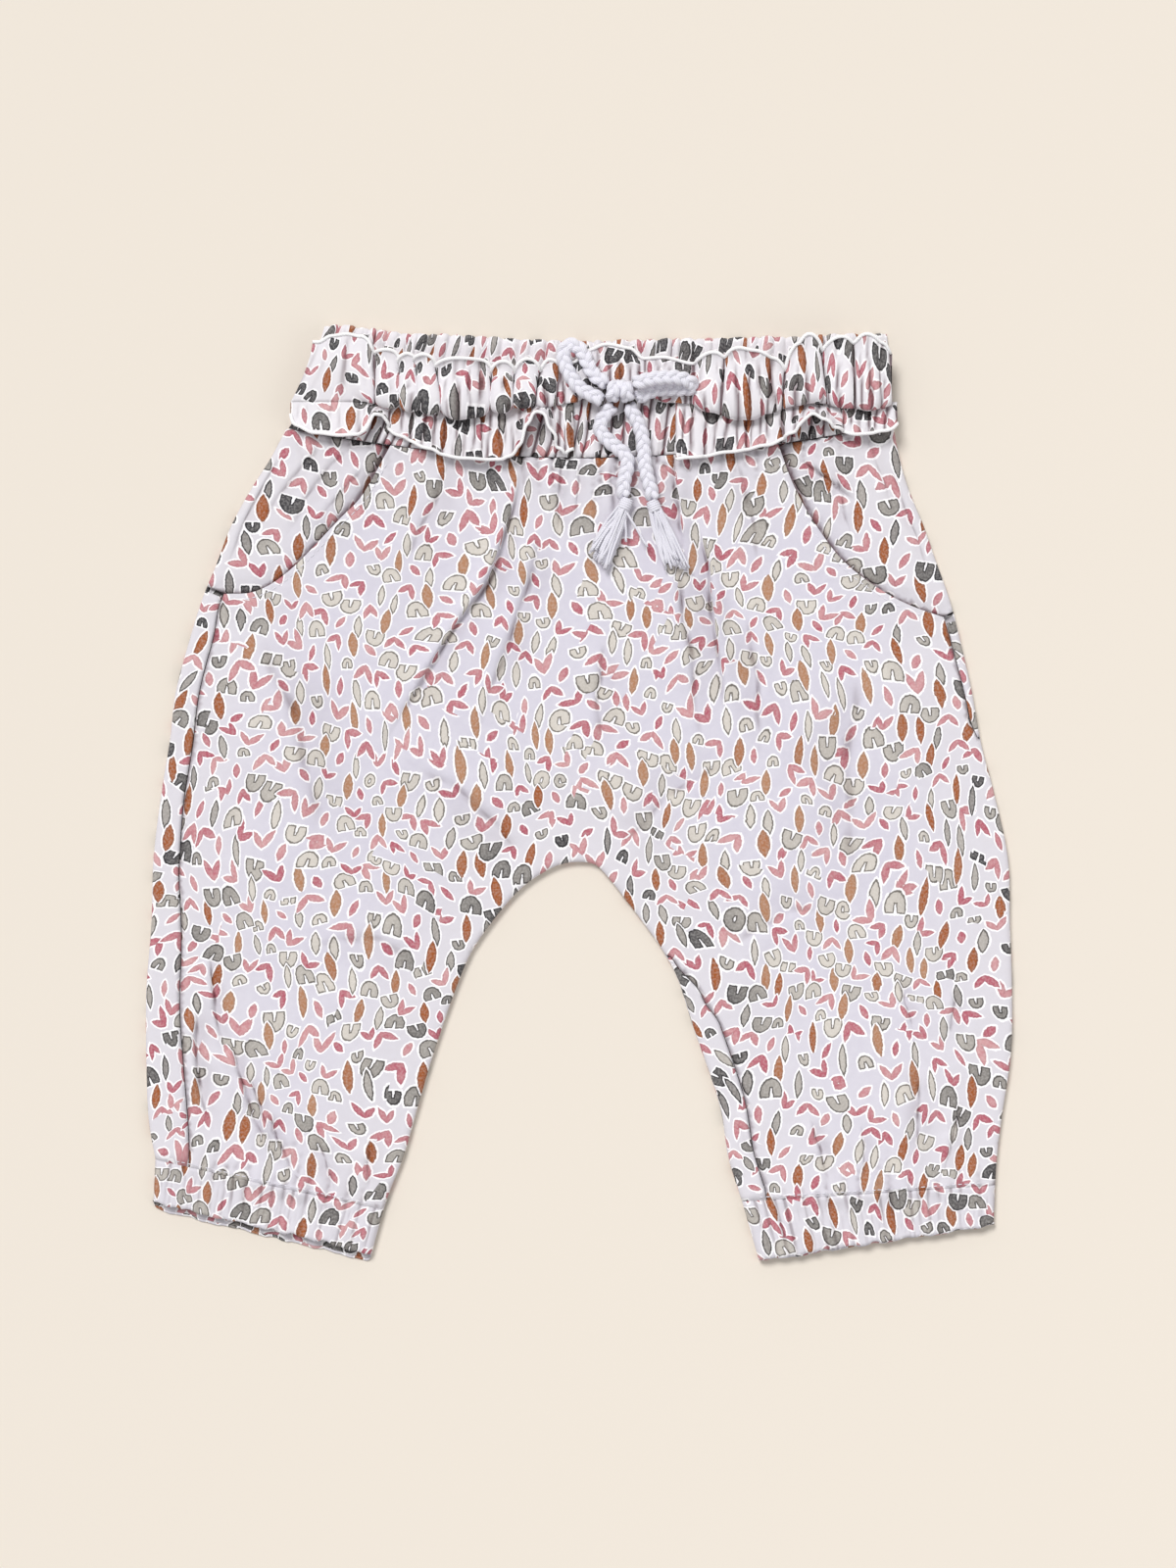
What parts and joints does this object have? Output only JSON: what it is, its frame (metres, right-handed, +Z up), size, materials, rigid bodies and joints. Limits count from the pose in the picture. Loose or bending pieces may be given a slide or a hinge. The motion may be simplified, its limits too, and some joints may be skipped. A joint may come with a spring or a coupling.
{
  "type": "baby trousers",
  "caption": "Loose printed cotton baby trousers laid flat, with a gathered frilled waist, a tied drawstring, pocket yokes and gathered hems.",
  "frame": {"origin": "the surface that the trousers lie on, under the middle of their outline, the drawstring and its tassels apart", "axes": "+Y from the hems to the waist, +X to the right as seen from above, +Z up from the surface"},
  "size_m": [0.3355, 0.3617, 0.0213],
  "materials": {
    "printed_cotton": "thin woven cotton, matte, printed with small leaves and cups",
    "cord_cotton": "braided white cotton cord, matte"
  },
  "bodies": {
    "root": {"back_panel": "printed_cotton", "front_panel": "printed_cotton", "pocket_yoke_left": "printed_cotton", "pocket_yoke_right": "printed_cotton", "waistband_front": "printed_cotton", "waistband_back": "printed_cotton", "header_frill": "printed_cotton", "lower_frill_left": "printed_cotton", "lower_frill_right": "printed_cotton", "cuff_left": "printed_cotton", "cuff_right": "printed_cotton", "drawstring_loop_left": "cord_cotton", "drawstring_loop_right": "cord_cotton", "drawstring_tail_left": "cord_cotton", "drawstring_tail_right": "cord_cotton", "bow_knot": "cord_cotton", "tassel_left": "cord_cotton", "tassel_right": "cord_cotton"}
  },
  "joints": []
}
